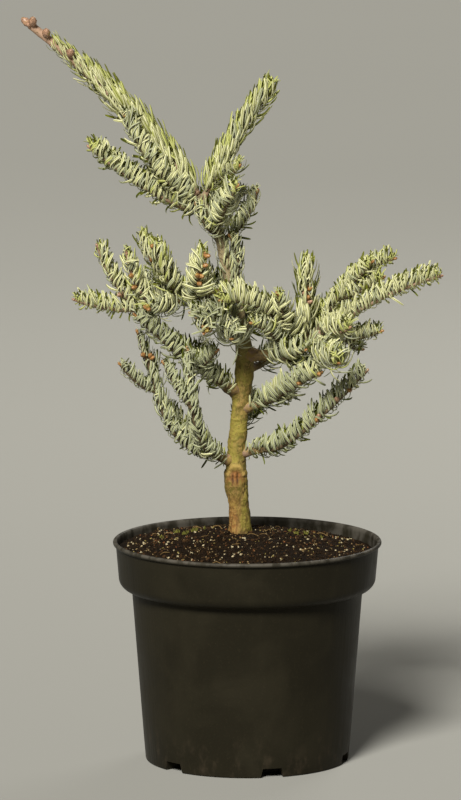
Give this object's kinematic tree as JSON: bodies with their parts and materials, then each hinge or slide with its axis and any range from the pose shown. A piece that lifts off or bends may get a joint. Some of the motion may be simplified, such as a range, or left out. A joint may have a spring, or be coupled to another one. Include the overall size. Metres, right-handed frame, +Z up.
{
  "type": "potted korean fir",
  "caption": "Young fir with a crooked trunk, spreading boughs and stout shoots of short curled silver-green needles, in a round black nursery pot filled with peat.",
  "frame": {"origin": "the middle of the pot's flat underside, on the surface it stands on", "axes": "+Z up the plant, +X to its right as seen from the front, -Y towards the front; the bare leader leans to -X"},
  "size_m": [0.3475, 0.2248, 0.6256],
  "materials": {
    "pot_plastic": "satin",
    "potting_soil": "matte",
    "trunk_bark": "matte",
    "bough_bark": "matte",
    "needles": "satin"
  },
  "bodies": {
    "root": {"bough_left": "bough_bark", "bough_left_back": "bough_bark", "bough_low_back": "bough_bark", "bough_low_left": "bough_bark", "bough_low_right": "bough_bark", "bough_mid_back": "bough_bark", "bough_mid_left": "bough_bark", "bough_mid_right": "bough_bark", "bough_right": "bough_bark", "bough_right_back": "bough_bark", "foliage_back_high": "needles", "foliage_front_left": "needles", "foliage_front_mid": "needles", "foliage_leader": "needles", "foliage_leader_side": "needles", "foliage_left_back": "needles", "foliage_left_back_mid": "needles", "foliage_left_front_high": "needles", "foliage_left_front_low": "needles", "foliage_left_tip": "needles", "foliage_left_up": "needles", "foliage_low_back": "needles", "foliage_low_left_back": "needles", "foliage_low_left_inner": "needles", "foliage_low_left_outer": "needles", "foliage_low_right": "needles", "foliage_low_right_back": "needles", "foliage_mid_back": "needles", "foliage_mid_left": "needles", "foliage_mid_right": "needles", "foliage_right_back": "needles", "foliage_right_back_low": "needles", "foliage_right_facing": "needles", "foliage_right_far": "needles", "foliage_right_front_long": "needles", "foliage_right_front_low": "needles", "foliage_right_high": "needles", "foliage_right_low": "needles", "foliage_right_mid": "needles", "foliage_right_up": "needles", "foliage_top_back": "needles", "foliage_top_back_left": "needles", "foliage_top_front": "needles", "foliage_top_left": "needles", "foliage_top_right": "needles", "foliage_top_right_low": "needles", "foliage_trunk_left": "needles", "foliage_trunk_right": "needles", "pot": "pot_plastic", "soil": "potting_soil", "trunk": "trunk_bark"}
  },
  "joints": []
}
